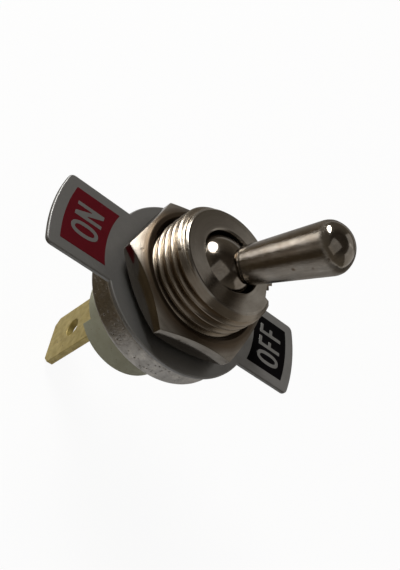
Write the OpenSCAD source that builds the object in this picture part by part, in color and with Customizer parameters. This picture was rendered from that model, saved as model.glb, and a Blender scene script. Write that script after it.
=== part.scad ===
// Engine stop switch: bat lever on a threaded bushing, legend plate, one blade terminal

/* [Bushing] */
// Outside diameter of the thread
thread_d = 12.7; // [12:0.1:13]
// Height of the bushing's face above the cover
bushing_h = 7.6; // [7.4:0.1:8.6]
// Diameter of the bushing's face inside its chamfer
nose_d = 11.1; // [10.4:0.1:11.6]
// Length of that chamfer
nose_l = 0.8; // [0.5:0.05:1.2]
// Rounding of the edge between face and chamfer
nose_round = 0.3; // [0.1:0.05:0.5]
// Diameter of the opening that the lever stands in
mouth_d = 6.8; // [6.7:0.05:7]
// Chamfer round that opening
mouth_chamfer = 0.15; // [0.1:0.05:0.3]
// Length of the parallel socket behind the pivot
socket_l = 3.6; // [3:0.1:4]
// Thickness of the collar behind the cover
collar_t = 0.6; // [0.4:0.1:1]
// How far the collar stands out past the thread
collar_rim = 0.9; // [0.6:0.1:1.2]

/* [Lever] */
// Height of the lever's pivot above the cover
pivot_h = 4.5; // [4.3:0.1:4.7]
// Tilt of the lever from the bushing's axis at either end
lever_tilt = 21.5; // [18:0.5:21.5]
// Diameter of the ball
ball_d = 8.1; // [7.8:0.1:8.4]
// Diameter of the neck between ball and bat
neck_d = 3.4; // [2.8:0.1:3.7]
// Distance from the pivot to the bat's shoulder
bat_start = 3.8; // [3.7:0.05:4.2]
// Diameter of the bat at its shoulder
bat_d = 3.9; // [3.4:0.05:3.95]
// Distance from the pivot to the ring where the dome begins
bat_end = 12.8; // [10:0.1:16]
// Diameter of the bat at that ring
bat_end_d = 5.4; // [4.6:0.1:6.5]
// Height of the dome
dome_h = 2; // [1.6:0.05:2.6]
// Distance from the pivot to the end of the tail
tail_l = 7; // [6.6:0.1:7.1]
// Diameter of the tail
tail_d = 3.2; // [2.9:0.1:3.4]
// Diameter of the pivot pin
pin_d = 1.2; // [1:0.1:1.4]
// How far the pin's ends reach into the bushing's wall
pin_seat = 0.6; // [0.4:0.05:0.7]

/* [Plunger and spring] */
// Diameter of the plunger
plunger_d = 2; // [1.8:0.1:2.1]
// Length of the plunger's parallel part
plunger_l = 2; // [1.6:0.1:2.4]
// How far the plunger's rounded tip stands out of the tail
plunger_reach = 1.6; // [1.4:0.1:1.7]
// Diameter of the spring's wire
wire_d = 0.28; // [0.2:0.02:0.32]
// Number of turns of the spring
spring_turns = 6; // [5:1:7]
// Distance from the pivot to the end of the spring's bore
bore_end = 2.4; // [1.6:0.1:2.6]

/* [Cover and base] */
// Diameter of the cover
cover_d = 18.3; // [17.8:0.1:20]
// Height of the cover's side
cover_h = 3.5; // [3.2:0.05:4]
// Thickness of the cover's sheet
cover_t = 0.7; // [0.5:0.05:0.8]
// Rounding of the cover's front edge
cover_round = 0.7; // [0.3:0.05:0.7]
// Rounding of the crimped rear edge
crimp_round = 0.65; // [0.4:0.05:1.3]
// Thickness of the crimped lip
lip_t = 0.55; // [0.4:0.05:0.7]
// How far the lip reaches in under the base's flange
lip_reach = 1.1; // [0.8:0.1:1.3]
// Diameter of the base behind the cover
base_d = 12; // [11.8:0.1:13]
// Depth of the base's rear face behind the cover's front
base_depth = 9.5; // [9.3:0.1:11]
// Thickness of the base's wall
base_wall = 1; // [0.8:0.05:1.05]
// Thickness of the base's floor
floor_t = 2.6; // [2.2:0.1:2.8]
// Depth of the notch in the base in front of the terminal
notch_h = 1.4; // [0.8:0.1:1.8]
// Width of that notch
notch_w = 6; // [5:0.1:6.2]

/* [Legend plate and nut] */
// Thickness of the legend plate
plate_t = 0.5; // [0.4:0.05:1]
// Diameter of the plate's disc
disc_d = 19.2; // [18.6:0.1:21]
// Width of the plate's arms
arm_w = 9; // [8:0.1:12]
// Radius of the arms' outer ends
arm_r = 16.35; // [14:0.05:20]
// Rounding of the arms' corners
arm_round = 0.7; // [0.3:0.1:2]
// Gap left for the panel between plate and nut
panel_gap = 0.35; // [0.2:0.05:2]
// Width of the nut across its flats
nut_af = 15.35; // [14.5:0.05:17]
// Thickness of the nut
nut_t = 2.85; // [2:0.05:3.2]
// Diameter of the nut's flat faces inside their chamfers
nut_flat_d = 14.5; // [13.5:0.1:15]
// Angle of those chamfers
nut_chamfer = 30; // [26:1:34]
// Depth of the countersink at the nut's front
nut_lead = 0.45; // [0.2:0.05:0.6]
// Turn of the nut on its thread
nut_turn = 38; // [0:1:59]

/* [Terminal] */
// Width of the tab
tab_w = 6.3; // [6:0.1:6.6]
// Thickness of the tab
tab_t = 0.8; // [0.6:0.05:0.9]
// Length of the tab behind the base
tab_l = 10.4; // [8:0.1:12]
// Distance of the tab's middle plane from the axis
tab_y = 3.25; // [3:0.05:3.4]
// Chamfer of the tab's corners
tab_chamfer = 0.8; // [0.4:0.05:1.2]
// Diameter of the hole in the tab
tab_hole_d = 2.2; // [1.6:0.1:3]
// Distance of that hole from the tab's tip
tab_hole_l = 4.75; // [4:0.05:6]
// How far the tab's full width reaches into the base
tab_seat = 1.6; // [1:0.1:1.8]
// Width of the tongue inside the base
tongue_w = 3.6; // [2.8:0.1:4.2]

/* [Contacts] */
// Thickness of the rocker's sheet
rocker_t = 0.6; // [0.5:0.05:0.7]
// Width of the rocker
rocker_w = 4.4; // [3.8:0.1:4.6]
// Length of each wing of the rocker
wing_l = 4.1; // [3.8:0.1:4.2]
// Angle of the wings above level
wing_angle = 22; // [20:1:24]
// Swing of the rocker to either side
rocker_swing = 10; // [9:0.5:11]
// Diameter of the rocker's lugs
lug_d = 0.9; // [0.7:0.05:1]
// Thickness of the moving contact
contact_t = 0.4; // [0.3:0.05:0.5]
// Length of the moving contact along the wing
contact_l = 1.2; // [1:0.1:1.4]
// Length of both contacts across the rocker
contact_w = 3; // [2.4:0.1:3.4]
// Height of the fixed contact's straight foot
contact_foot = 0.2; // [0.1:0.05:0.3]
// Thickness of the earth bracket's sheet
bracket_t = 0.4; // [0.3:0.05:0.5]
// Distance of the bracket's ears from the axis
ear_x = 4.2; // [4.1:0.05:4.25]
// Width of each ear
ear_w = 2.2; // [1.8:0.1:2.4]

/* [Fits] */
// Radial clearance of ball, pin, plunger and lugs
running_fit = 0.05; // [0.02:0.01:0.08]
// Clearance of pieces that are fitted together and stay put
seat_fit = 0.03; // [0.01:0.01:0.06]
// Gap between the plunger's tip and the rocker, and between the contacts
touch_gap = 0.06; // [0.04:0.01:0.12]
// Free space round what swings
swing_gap = 0.35; // [0.25:0.05:0.45]

/* [Hidden] */
$fn = 96;
cut = 0.1;
nose_r = nose_d / 2;
thread_r = thread_d / 2;
nose_step = thread_r - nose_r;
collar_r = thread_r + collar_rim;
ball_r = ball_d / 2;
socket_r = ball_r + running_fit;
tail_r = tail_d / 2;
bell_r = tail_l * sin(lever_tilt) + tail_r * cos(lever_tilt) + swing_gap;
bell_z = pivot_h - socket_l;
pin_half = socket_r + pin_seat;
dome_r = (pow(bat_end_d / 2, 2) + pow(dome_h, 2)) / (2 * dome_h);
plunger_r = plunger_d / 2;
tip_s = tail_l + plunger_reach - plunger_r;
bore_r = plunger_r + running_fit;
spring_r = plunger_r - wire_d / 2 - running_fit;
spring_s = tip_s - plunger_l;
cover_r = cover_d / 2;
seat_z = -cover_t - collar_t - bracket_t;
lip_z = lip_t - cover_h;
flange_r = cover_r - cover_t - seat_fit;
lip_r = flange_r - lip_reach;
base_r = base_d / 2;
cavity_r = base_r - base_wall;
floor_z = floor_t - base_depth;
tip_z = -base_depth - tab_l;
tab_top = tab_seat - base_depth;
nut_r = nut_af / 2 / cos(30);
ring_in = ear_x + bracket_t / 2;

// Depth of the rocker's lugs below the pivot that just clears the plunger's tip at one tilt of the lever
function lug_depth(tilt) =
    let (
        swing = rocker_swing * tilt / lever_tilt,
        slope = wing_angle - swing
    )
    tip_s * cos(tilt) + apex * cos(swing) + (plunger_r + touch_gap) / cos(slope)
        + (tip_s * sin(tilt) - apex * sin(swing)) * tan(slope);

apex = rocker_t / 2;
wing_low = wing_angle - rocker_swing;
rocker_z = pivot_h - max([for (part = [0:0.1:1]) lug_depth(part * lever_tilt)]);

// Where the wing's underside is over the tab, with the rocker at either end
wing_under = rocker_z + apex * cos(rocker_swing)
    + (tab_y - apex * sin(rocker_swing)) * tan(wing_low) - rocker_t / cos(wing_low);
fixed_r = tab_t / 2;
fixed_z = wing_under - (contact_t + touch_gap + fixed_r) / cos(wing_low);
stop_z = wing_under - (touch_gap + fixed_r) / cos(wing_low);
contact_s = (tab_y - apex * sin(rocker_swing)) / cos(wing_low)
    - (rocker_t + contact_t + touch_gap + fixed_r) * tan(wing_low);

// What is cut from a square corner at the origin to round it
module edge_cut(r) {
    difference() {
        translate([-r, -r])
            square(r + cut);
        translate([-r, -r])
            circle(r);
    }
}

// Turns the lever's own axis to where it lies with the switch off
module in_lever() {
    translate([0, 0, pivot_h])
        rotate([lever_tilt, 0, 0])
            children();
}

// Turns the rocker's own frame to where it lies with the switch off
module in_rocker() {
    translate([0, 0, rocker_z])
        rotate([-rocker_swing, 0, 0])
            children();
}

// Lays an outline drawn in Y and Z across X
module across(width) {
    rotate([90, 0, 90])
        linear_extrude(width, center = true)
            children();
}

module bushing_outline() {
    rear_z = -cover_t - collar_t;
    slope = atan2(nose_l, nose_step);
    tangent = nose_round * tan(slope / 2);
    translate([0, rear_z])
        square([collar_r, collar_t]);
    polygon([[0, rear_z], [thread_r, rear_z], [thread_r, bushing_h - nose_l],
        [nose_r + tangent * cos(slope), bushing_h - tangent * sin(slope)],
        [nose_r - tangent, bushing_h], [0, bushing_h]]);
    translate([nose_r - tangent, bushing_h - nose_round])
        circle(nose_round);
}

module bushing() {
    rear_z = -cover_t - collar_t;
    color("silver")
        difference() {
            rotate_extrude()
                bushing_outline();
            translate([0, 0, pivot_h])
                sphere(socket_r);
            translate([0, 0, rear_z - cut])
                cylinder(r = socket_r, h = pivot_h - rear_z + cut);
            translate([0, 0, rear_z - cut])
                cylinder(r = bell_r, h = bell_z - rear_z + cut);
            translate([0, 0, pivot_h])
                cylinder(d = mouth_d, h = bushing_h - pivot_h + cut);
            translate([0, 0, bushing_h - mouth_chamfer])
                cylinder(r1 = mouth_d / 2, r2 = mouth_d / 2 + mouth_chamfer + cut, h = mouth_chamfer + cut);
            pin_slots(rear_z - cut);
        }
}

// Grooves up which the pin's ends slide to the pivot when the lever is put in from behind
module pin_slots(from_z) {
    slot_r = pin_d / 2 + running_fit;
    reach = 2 * (pin_half + running_fit);
    translate([0, 0, pivot_h])
        rotate([0, 90, 0])
            cylinder(r = slot_r, h = reach, center = true);
    translate([-reach / 2, -slot_r, from_z])
        cube([reach, 2 * slot_r, pivot_h - from_z]);
}

module cover_cup() {
    hole_r = thread_r + seat_fit;
    color("lightgrey")
        rotate_extrude()
            difference() {
                translate([hole_r, -cover_h])
                    square([cover_r - hole_r, cover_h]);
                translate([0, lip_z])
                    square([cover_r - cover_t, -cover_t - lip_z]);
                translate([0, -cover_h - cut])
                    square([lip_r, lip_t + 2 * cut]);
                translate([cover_r, 0])
                    edge_cut(cover_round);
                translate([cover_r, -cover_h])
                    mirror([0, 1])
                        edge_cut(crimp_round);
            }
}

module base() {
    color("darkseagreen") {
        difference() {
            union() {
                translate([0, 0, lip_z])
                    cylinder(r = flange_r, h = -cover_t - lip_z);
                translate([0, 0, -base_depth])
                    cylinder(r = base_r, h = base_depth + lip_z);
            }
            translate([0, 0, seat_z])
                cylinder(r = collar_r + seat_fit, h = -seat_z);
            translate([0, 0, floor_z])
                cylinder(r = cavity_r, h = -floor_z);
            terminal_slot();
            translate([-notch_w / 2, tab_y, -base_depth - cut])
                cube([notch_w, base_r, notch_h + cut]);
        }
        stop_rib();
    }
}

// Stepped way through the floor for the tab's shoulders and the tongue
module terminal_slot() {
    thick = tab_t + 2 * seat_fit;
    translate([-tab_w / 2 - seat_fit, tab_y - thick / 2, -base_depth - cut])
        cube([tab_w + 2 * seat_fit, thick, tab_seat + seat_fit + cut]);
    translate([-tongue_w / 2 - seat_fit, tab_y - thick / 2, -base_depth])
        cube([tongue_w + 2 * seat_fit, thick, floor_t + cut]);
}

// Rounded rib on the floor that the rocker comes down on with the switch on
module stop_rib() {
    translate([-contact_w / 2, -tab_y - fixed_r, floor_z - cut])
        cube([contact_w, 2 * fixed_r, stop_z - floor_z + cut]);
    translate([0, -tab_y, stop_z])
        rotate([0, 90, 0])
            cylinder(r = fixed_r, h = contact_w, center = true);
}

module arm_outline() {
    inner_x = arm_w / 2 - arm_round;
    inner_y = sqrt(pow(arm_r - arm_round, 2) - pow(inner_x, 2));
    past_corner = 1.5;
    spread = past_corner * arm_round / (arm_r - arm_round);
    difference() {
        intersection() {
            translate([-arm_w / 2, 0])
                square([arm_w, arm_r + cut]);
            circle(arm_r);
        }
        for (side = [-1, 1])
            difference() {
                polygon([
                    [side * inner_x, inner_y],
                    [side * (arm_w / 2 + cut), inner_y],
                    [side * (arm_w / 2 + cut), inner_y * (1 + spread)],
                    [side * inner_x * (1 + spread), inner_y * (1 + spread)]
                ]);
                translate([side * inner_x, inner_y])
                    circle(arm_round);
            }
    }
}

module legend_plate() {
    color("gainsboro")
        linear_extrude(plate_t)
            difference() {
                union() {
                    circle(d = disc_d);
                    arm_outline();
                    mirror([0, 1])
                        arm_outline();
                }
                circle(thread_r + 2 * seat_fit);
            }
}

module hex_nut() {
    bore = thread_r + seat_fit;
    flat_r = nut_flat_d / 2;
    ridge_r = flat_r + nut_t / 2 / tan(nut_chamfer);
    translate([0, 0, plate_t + panel_gap])
        rotate(nut_turn)
            color("slategrey")
                difference() {
                    intersection() {
                        cylinder(r = nut_r, h = nut_t, $fn = 6);
                        rotate_extrude()
                            polygon([[0, 0], [flat_r, 0], [ridge_r, nut_t / 2], [flat_r, nut_t], [0, nut_t]]);
                    }
                    translate([0, 0, -cut])
                        cylinder(r = bore, h = nut_t + 2 * cut);
                    translate([0, 0, nut_t - nut_lead])
                        cylinder(r1 = bore, r2 = bore + nut_lead + cut, h = nut_lead + cut);
                }
}

module bat_outline() {
    translate([0, ball_r - neck_d / 2])
        square([neck_d / 2, bat_start - ball_r + neck_d / 2]);
    polygon([[0, bat_start], [bat_d / 2, bat_start], [bat_end_d / 2, bat_end], [0, bat_end]]);
    intersection() {
        translate([0, bat_end + dome_h - dome_r])
            circle(dome_r);
        translate([0, bat_end])
            square([bat_end_d, dome_h + cut]);
    }
}

module toggle_lever() {
    color("lightslategrey")
        in_lever()
            difference() {
                union() {
                    sphere(ball_r);
                    rotate_extrude()
                        bat_outline();
                    translate([0, 0, -tail_l])
                        cylinder(r = tail_r, h = tail_l);
                }
                translate([0, 0, -tail_l - cut])
                    cylinder(r = bore_r, h = tail_l - bore_end + cut);
                rotate([0, 90, 0])
                    cylinder(d = pin_d + 2 * seat_fit, h = ball_d, center = true);
            }
}

module pivot_pin() {
    color("dimgrey")
        in_lever()
            rotate([0, 90, 0])
                cylinder(d = pin_d, h = 2 * pin_half, center = true);
}

module plunger() {
    color("peru")
        in_lever() {
            translate([0, 0, -tip_s])
                cylinder(r = plunger_r, h = plunger_l);
            translate([0, 0, -tip_s])
                sphere(plunger_r);
        }
}

// Height of the spring's wire centre after some turns: closed end turns and even ones between them
function coil_z(turn) =
    let (
        closed = wire_d + seat_fit,
        room = spring_s - bore_end - wire_d - 2 * seat_fit,
        open = (room - 2 * closed) / (spring_turns - 2),
        middle = min(max(turn - 1, 0), spring_turns - 2)
    )
    open * middle + closed * (turn - middle);

module lever_spring() {
    sides = 8;
    steps = 20;
    rings = spring_turns * steps;
    points = [
        for (i = [0:rings], k = [0:sides - 1])
            let (
                turn = 360 * i / steps,
                across_wire = spring_r + wire_d / 2 * cos(360 * k / sides)
            )
            [across_wire * cos(turn), across_wire * sin(turn),
                coil_z(i / steps) + wire_d / 2 * sin(360 * k / sides)]
    ];
    walls = [
        for (i = [0:rings - 1], k = [0:sides - 1])
            let (next = (k + 1) % sides)
            [i * sides + k, (i + 1) * sides + k, (i + 1) * sides + next, i * sides + next]
    ];
    first = [for (k = [0:sides - 1]) k];
    last = [for (k = [0:sides - 1]) rings * sides + sides - 1 - k];
    color("darkgrey")
        in_lever()
            translate([0, 0, -spring_s + wire_d / 2 + seat_fit])
                polyhedron(points, concat(walls, [first, last]));
}

module wing_outline() {
    translate([0, apex])
        rotate(wing_angle)
            translate([0, -rocker_t])
                square([wing_l, rocker_t]);
}

module contact_rocker() {
    bend = 2 * rocker_t;
    color("goldenrod")
        in_rocker() {
            across(rocker_w) {
                wing_outline();
                mirror([1, 0])
                    wing_outline();
                intersection() {
                    translate([0, apex])
                        circle(rocker_t);
                    translate([0, apex])
                        polygon([[0, 0], [bend * sin(wing_angle), -bend * cos(wing_angle)],
                            [-bend * sin(wing_angle), -bend * cos(wing_angle)]]);
                }
            }
            rotate([0, 90, 0])
                cylinder(d = lug_d, h = 2 * (ear_x + bracket_t), center = true);
        }
}

module moving_contact() {
    color("white")
        in_rocker()
            across(contact_w)
                translate([0, apex])
                    rotate(wing_angle)
                        translate([contact_s - contact_l / 2, -rocker_t - contact_t])
                            square([contact_l, contact_t]);
}

module fixed_contact() {
    color("whitesmoke") {
        translate([0, tab_y, fixed_z])
            rotate([0, 90, 0])
                cylinder(r = fixed_r, h = contact_w, center = true);
        translate([-contact_w / 2, tab_y - fixed_r, fixed_z - fixed_r - contact_foot])
            cube([contact_w, 2 * fixed_r, fixed_r + contact_foot]);
    }
}

// Washer under the collar with two ears bent down to carry the rocker's lugs
module earth_bracket() {
    hole_r = lug_d / 2 + running_fit;
    color("khaki")
        difference() {
            union() {
                translate([0, 0, seat_z])
                    difference() {
                        cylinder(r = collar_r, h = bracket_t);
                        translate([0, 0, -cut])
                            cylinder(r = ring_in, h = bracket_t + 2 * cut);
                    }
                for (side = [-1, 1])
                    translate([side * (ear_x + bracket_t / 2), 0, 0]) {
                        translate([-bracket_t / 2, -ear_w / 2, rocker_z])
                            cube([bracket_t, ear_w, seat_z + bracket_t - rocker_z]);
                        translate([0, 0, rocker_z])
                            rotate([0, 90, 0])
                                cylinder(d = ear_w, h = bracket_t, center = true);
                    }
            }
            translate([0, 0, rocker_z])
                rotate([0, 90, 0])
                    cylinder(r = hole_r, h = 2 * base_r, center = true);
        }
}

module tab_outline() {
    half = tab_w / 2;
    polygon([[-half, tip_z + tab_chamfer], [-half + tab_chamfer, tip_z], [half - tab_chamfer, tip_z],
        [half, tip_z + tab_chamfer], [half, tab_top], [-half, tab_top]]);
    translate([-tongue_w / 2, tab_top - cut])
        square([tongue_w, fixed_z - fixed_r - contact_foot - tab_top + cut]);
}

module terminal_blade() {
    color("gold")
        difference() {
            translate([0, tab_y + tab_t / 2, 0])
                rotate([90, 0, 0])
                    linear_extrude(tab_t)
                        tab_outline();
            translate([0, tab_y, tip_z + tab_hole_l])
                rotate([90, 0, 0])
                    cylinder(d = tab_hole_d, h = tab_w, center = true);
        }
}

bushing();
cover_cup();
base();
legend_plate();
hex_nut();
toggle_lever();
pivot_pin();
plunger();
lever_spring();
contact_rocker();
moving_contact();
fixed_contact();
earth_bracket();
terminal_blade();
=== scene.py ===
import math

import bmesh
import bpy
from mathutils import Matrix, Quaternion, Vector


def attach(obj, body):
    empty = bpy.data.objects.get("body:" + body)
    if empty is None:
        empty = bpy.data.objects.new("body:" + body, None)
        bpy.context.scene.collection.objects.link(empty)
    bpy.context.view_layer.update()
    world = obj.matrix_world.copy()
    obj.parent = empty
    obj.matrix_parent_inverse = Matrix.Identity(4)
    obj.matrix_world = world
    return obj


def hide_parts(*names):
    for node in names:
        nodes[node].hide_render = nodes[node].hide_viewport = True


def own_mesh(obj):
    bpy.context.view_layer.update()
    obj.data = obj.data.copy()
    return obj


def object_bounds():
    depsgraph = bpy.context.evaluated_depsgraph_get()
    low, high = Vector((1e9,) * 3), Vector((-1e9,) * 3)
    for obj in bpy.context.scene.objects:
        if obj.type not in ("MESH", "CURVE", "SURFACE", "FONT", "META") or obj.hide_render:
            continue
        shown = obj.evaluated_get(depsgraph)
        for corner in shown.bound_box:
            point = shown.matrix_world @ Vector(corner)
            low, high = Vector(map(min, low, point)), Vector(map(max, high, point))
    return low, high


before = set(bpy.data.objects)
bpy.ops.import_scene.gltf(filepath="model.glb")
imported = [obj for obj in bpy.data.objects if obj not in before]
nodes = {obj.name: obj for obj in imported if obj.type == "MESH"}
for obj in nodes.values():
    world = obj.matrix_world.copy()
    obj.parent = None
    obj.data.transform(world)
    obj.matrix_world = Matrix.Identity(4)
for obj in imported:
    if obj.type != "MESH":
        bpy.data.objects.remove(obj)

scene = bpy.context.scene
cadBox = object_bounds()
mm = 0.001
print("frame loaded:", len(nodes), "nodes")


# Outlines and meshes, in millimetres until a piece is finished

def roundCorners(corners, steps=6, hold=0.03):
    # corners are (x, y, rounding); a point just past each arc keeps the straight stretches flat in shading
    points = []
    for i, (x, y, radius) in enumerate(corners):
        here = Vector((x, y))
        if radius <= 0:
            points.append(here)
            continue
        back = (Vector(corners[i - 1][:2]) - here).normalized()
        ahead = (Vector(corners[(i + 1) % len(corners)][:2]) - here).normalized()
        half = back.angle(ahead) / 2
        reach = radius / math.tan(half)
        middle = here + (back + ahead).normalized() * (radius / math.sin(half))
        spoke = here + back * reach - middle
        turn = spoke.angle_signed(here + ahead * reach - middle)
        points.append(here + back * (reach + hold))
        for k in range(steps + 1):
            a = -turn * k / steps
            points.append(middle + Vector((spoke.x * math.cos(a) - spoke.y * math.sin(a),
                                           spoke.x * math.sin(a) + spoke.y * math.cos(a))))
        points.append(here + ahead * (reach + hold))
    return points


def arcPoints(centre, radius, fromDeg, toDeg, steps):
    angles = [math.radians(fromDeg + (toDeg - fromDeg) * k / steps) for k in range(steps + 1)]
    return [Vector((centre[0] + radius * math.cos(a), centre[1] + radius * math.sin(a))) for a in angles]


def holeLoop(centre, radius, steps):
    # a circle run backwards, without its first point twice
    return arcPoints(centre, radius, 360, 360 / steps, steps - 1)


def joinRings(bm, rings, closed):
    pairs = list(zip(rings, rings[1:]))
    if closed:
        pairs.append((rings[-1], rings[0]))
    for low, high in pairs:
        count = max(len(low), len(high))
        for k in range(count):
            n = (k + 1) % count
            if len(low) == 1:
                bm.faces.new((low[0], high[n], high[k]))
            elif len(high) == 1:
                bm.faces.new((low[k], low[n], high[0]))
            else:
                bm.faces.new((low[k], low[n], high[n], high[k]))


def lathe(outline, steps, closed=False):
    # outline points are (radius, height); a point on the axis becomes one vertex
    bm = bmesh.new()
    rings = []
    angles = [2 * math.pi * k / steps for k in range(steps)]
    for radius, height in outline:
        if radius < 1e-6:
            rings.append([bm.verts.new((0, 0, height))])
        else:
            rings.append([bm.verts.new((radius * math.cos(a), radius * math.sin(a), height))
                          for a in angles])
    joinRings(bm, rings, closed)
    return bm


def smoothMesh(mesh, sharpDeg):
    mesh.shade_smooth()
    mesh.set_sharp_from_angle(angle=math.radians(sharpDeg))


def finishMesh(bm, name, place=None, sharpDeg=38):
    # puts the shape where it belongs, in metres, with its faces outwards
    bm.transform(Matrix.Scale(mm, 4) @ (place or Matrix()))
    bmesh.ops.recalc_face_normals(bm, faces=bm.faces)
    mesh = bpy.data.meshes.new(name)
    bm.to_mesh(mesh)
    bm.free()
    smoothMesh(mesh, sharpDeg)
    return mesh


def addHolder(name, data):
    holder = bpy.data.objects.new(name, data)
    scene.collection.objects.link(holder)
    return holder


def evaluatedMesh(holder, name):
    # a plain mesh of what the holder and its modifiers make, with the holder thrown away
    bpy.context.view_layer.update()
    mesh = bpy.data.meshes.new_from_object(holder.evaluated_get(bpy.context.evaluated_depsgraph_get()))
    mesh.name = name
    holder.modifiers.clear()
    bpy.data.objects.remove(holder)
    return mesh


sheetSizes = {"weld": 1e-7, "edgeArea": 2e-8, "edgeTurn": 0.99}     # metres, square metres, cosine


def flatPlate(name, loops, thickness, edge, place, edgeSteps=2):
    # a sheet cut to closed loops, the first outside and the others holes, with its edges broken
    curve = bpy.data.curves.new(name, "CURVE")
    curve.dimensions = "2D"
    curve.fill_mode = "BOTH"
    curve.extrude = (thickness / 2 - edge) * mm
    curve.bevel_depth = edge * mm
    curve.bevel_resolution = edgeSteps
    curve.offset = -edge * mm
    for loop in loops:
        spline = curve.splines.new("POLY")
        spline.points.add(len(loop) - 1)
        for point, (x, y) in zip(spline.points, loop):
            point.co = (x * mm, y * mm, 0, 1)
        spline.use_cyclic_u = True
    cut = evaluatedMesh(addHolder(name + "Curve", curve), name + "Cut")
    bpy.data.curves.remove(curve)
    bm = bmesh.new()
    bm.from_mesh(cut)
    bpy.data.meshes.remove(cut)
    bmesh.ops.remove_doubles(bm, verts=bm.verts, dist=sheetSizes["weld"])
    bm.transform(Matrix.Scale(1 / mm, 4))
    mesh = finishMesh(bm, name, place)
    up = place.to_3x3() @ Vector((0, 0, 1))
    for face in mesh.polygons:     # only the broken edges are smooth
        tilted = abs(up.dot(face.normal)) < sheetSizes["edgeTurn"]
        face.use_smooth = tilted and face.area < sheetSizes["edgeArea"]
    return mesh


def addPiece(name, mesh, material, body="housing", node=None):
    piece = addHolder(name, mesh)
    mesh.materials.clear()
    mesh.materials.append(material)
    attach(piece, body)
    if node:
        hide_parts(node)
    return piece


def markPoints(mesh, name, valueAt):
    # notes a number on each point, which the rules and materials read
    mark = mesh.attributes.new(name, "FLOAT", "POINT")
    for i, v in enumerate(mesh.vertices):
        mark.data[i].value = valueAt(i, v.co / mm)


# Node helpers

def addNode(tree, kind, values=None, **settings):
    node = tree.nodes.new(kind)
    for key, value in settings.items():
        setattr(node, key, value)
    for key, value in (values or {}).items():
        if isinstance(value, bpy.types.NodeSocket):
            tree.links.new(value, node.inputs[key])
        else:
            node.inputs[key].default_value = value
    return node


def reckon(tree, operation, *values, **settings):
    given = dict(enumerate(values))
    return addNode(tree, "ShaderNodeMath", given, operation=operation, **settings).outputs[0]


def reckonVector(tree, operation, values, output="Vector"):
    return addNode(tree, "ShaderNodeVectorMath", values, operation=operation).outputs[output]


def remap(tree, value, fromLow, fromHigh, toLow, toHigh, **settings):
    values = {0: value, 1: fromLow, 2: fromHigh, 3: toLow, 4: toHigh}
    return addNode(tree, "ShaderNodeMapRange", values, **settings).outputs[0]


def addNoise(tree, position, scale, detail, roughness=0.5):
    values = {"Vector": position, "Scale": scale, "Detail": detail, "Roughness": roughness}
    return addNode(tree, "ShaderNodeTexNoise", values).outputs


def splitAxes(tree, vector):
    return addNode(tree, "ShaderNodeSeparateXYZ", {0: vector}).outputs


def joinAxes(tree, values):
    return addNode(tree, "ShaderNodeCombineXYZ", values).outputs[0]


def mixColour(tree, factor, first, second, blend="MIX"):
    values = {0: factor, 6: first, 7: second}
    return addNode(tree, "ShaderNodeMix", values, data_type="RGBA", blend_type=blend).outputs[2]


def fillGroup(tree, group, values):
    return addNode(tree, "ShaderNodeGroup", values, node_tree=group).outputs


def readMark(tree, name):
    return addNode(tree, "ShaderNodeAttribute", attribute_name=name).outputs["Fac"]


def colour(r, g, b):
    return (r, g, b, 1.0)


# Effects that the finishes share

effectSizes = {"wobbleScale": 5.0, "wobbleReach": 0.25, "broadShare": 0.27}


def makeGroup(name, inputs, outputs):
    group = bpy.data.node_groups.new(name, "ShaderNodeTree")
    group.interface.new_socket(name="Position", in_out="INPUT", socket_type="NodeSocketVector")
    for label, value in inputs.items():
        socket = group.interface.new_socket(name=label, in_out="INPUT", socket_type="NodeSocketFloat")
        socket.default_value = value
    for label in outputs:
        group.interface.new_socket(name=label, in_out="OUTPUT", socket_type="NodeSocketFloat")
    return group, addNode(group, "NodeGroupInput").outputs, addNode(group, "NodeGroupOutput").inputs


def makeMottle():
    # soft patches a given size across, 0 to 1
    group, given, result = makeGroup("mottle", {"Size": 1.0, "Contrast": 2.0}, ["Mask"])
    scale = reckon(group, "DIVIDE", 1.0, given["Size"])
    noise = addNoise(group, given["Position"], scale, detail=4.0, roughness=0.55)
    centred = reckon(group, "SUBTRACT", noise[0], 0.5)
    spread = reckon(group, "MULTIPLY_ADD", centred, given["Contrast"], 0.5, use_clamp=True)
    group.links.new(spread, result["Mask"])
    return group


def makeSpecks():
    # scattered small spots with wavy rims, of which only a share shows
    group, given, result = makeGroup("specks", {"Spacing": 1.0, "Share": 0.3, "Radius": 0.3}, ["Mask"])
    scale = reckon(group, "DIVIDE", 1.0, given["Spacing"])
    wobble = addNoise(group, given["Position"], effectSizes["wobbleScale"], detail=2.0)
    nudge = reckonVector(group, "SUBTRACT", {0: wobble["Color"], 1: (0.5, 0.5, 0.5)})
    small = reckonVector(group, "SCALE", {0: nudge, "Scale": effectSizes["wobbleReach"]})
    moved = reckonVector(group, "ADD", {0: given["Position"], 1: small})
    cells = addNode(group, "ShaderNodeTexVoronoi", {"Vector": moved, "Scale": scale}).outputs
    spot = remap(group, cells["Distance"], given["Radius"], 0.0, 0.0, 1.0, interpolation_type="SMOOTHSTEP")
    pick = addNode(group, "ShaderNodeSeparateColor", {0: cells["Color"]}).outputs[0]
    shown = reckon(group, "LESS_THAN", pick, given["Share"])
    group.links.new(reckon(group, "MULTIPLY", spot, shown), result["Mask"])
    return group


def makeGrain():
    # fine lines or grit: the position is stretched in the material, so the grain runs along its long way
    group, given, result = makeGroup("grain", {"Fineness": 10.0}, ["Height", "Tone"])
    fine = addNoise(group, given["Position"], given["Fineness"], detail=5.0, roughness=0.7)[0]
    coarse = reckon(group, "MULTIPLY", given["Fineness"], effectSizes["broadShare"])
    broad = addNoise(group, given["Position"], coarse, detail=2.0)[0]
    group.links.new(fine, result["Height"])
    group.links.new(reckon(group, "MULTIPLY", fine, broad), result["Tone"])
    return group


mottle = makeMottle()
specks = makeSpecks()
grain = makeGrain()


# Finishes

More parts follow.
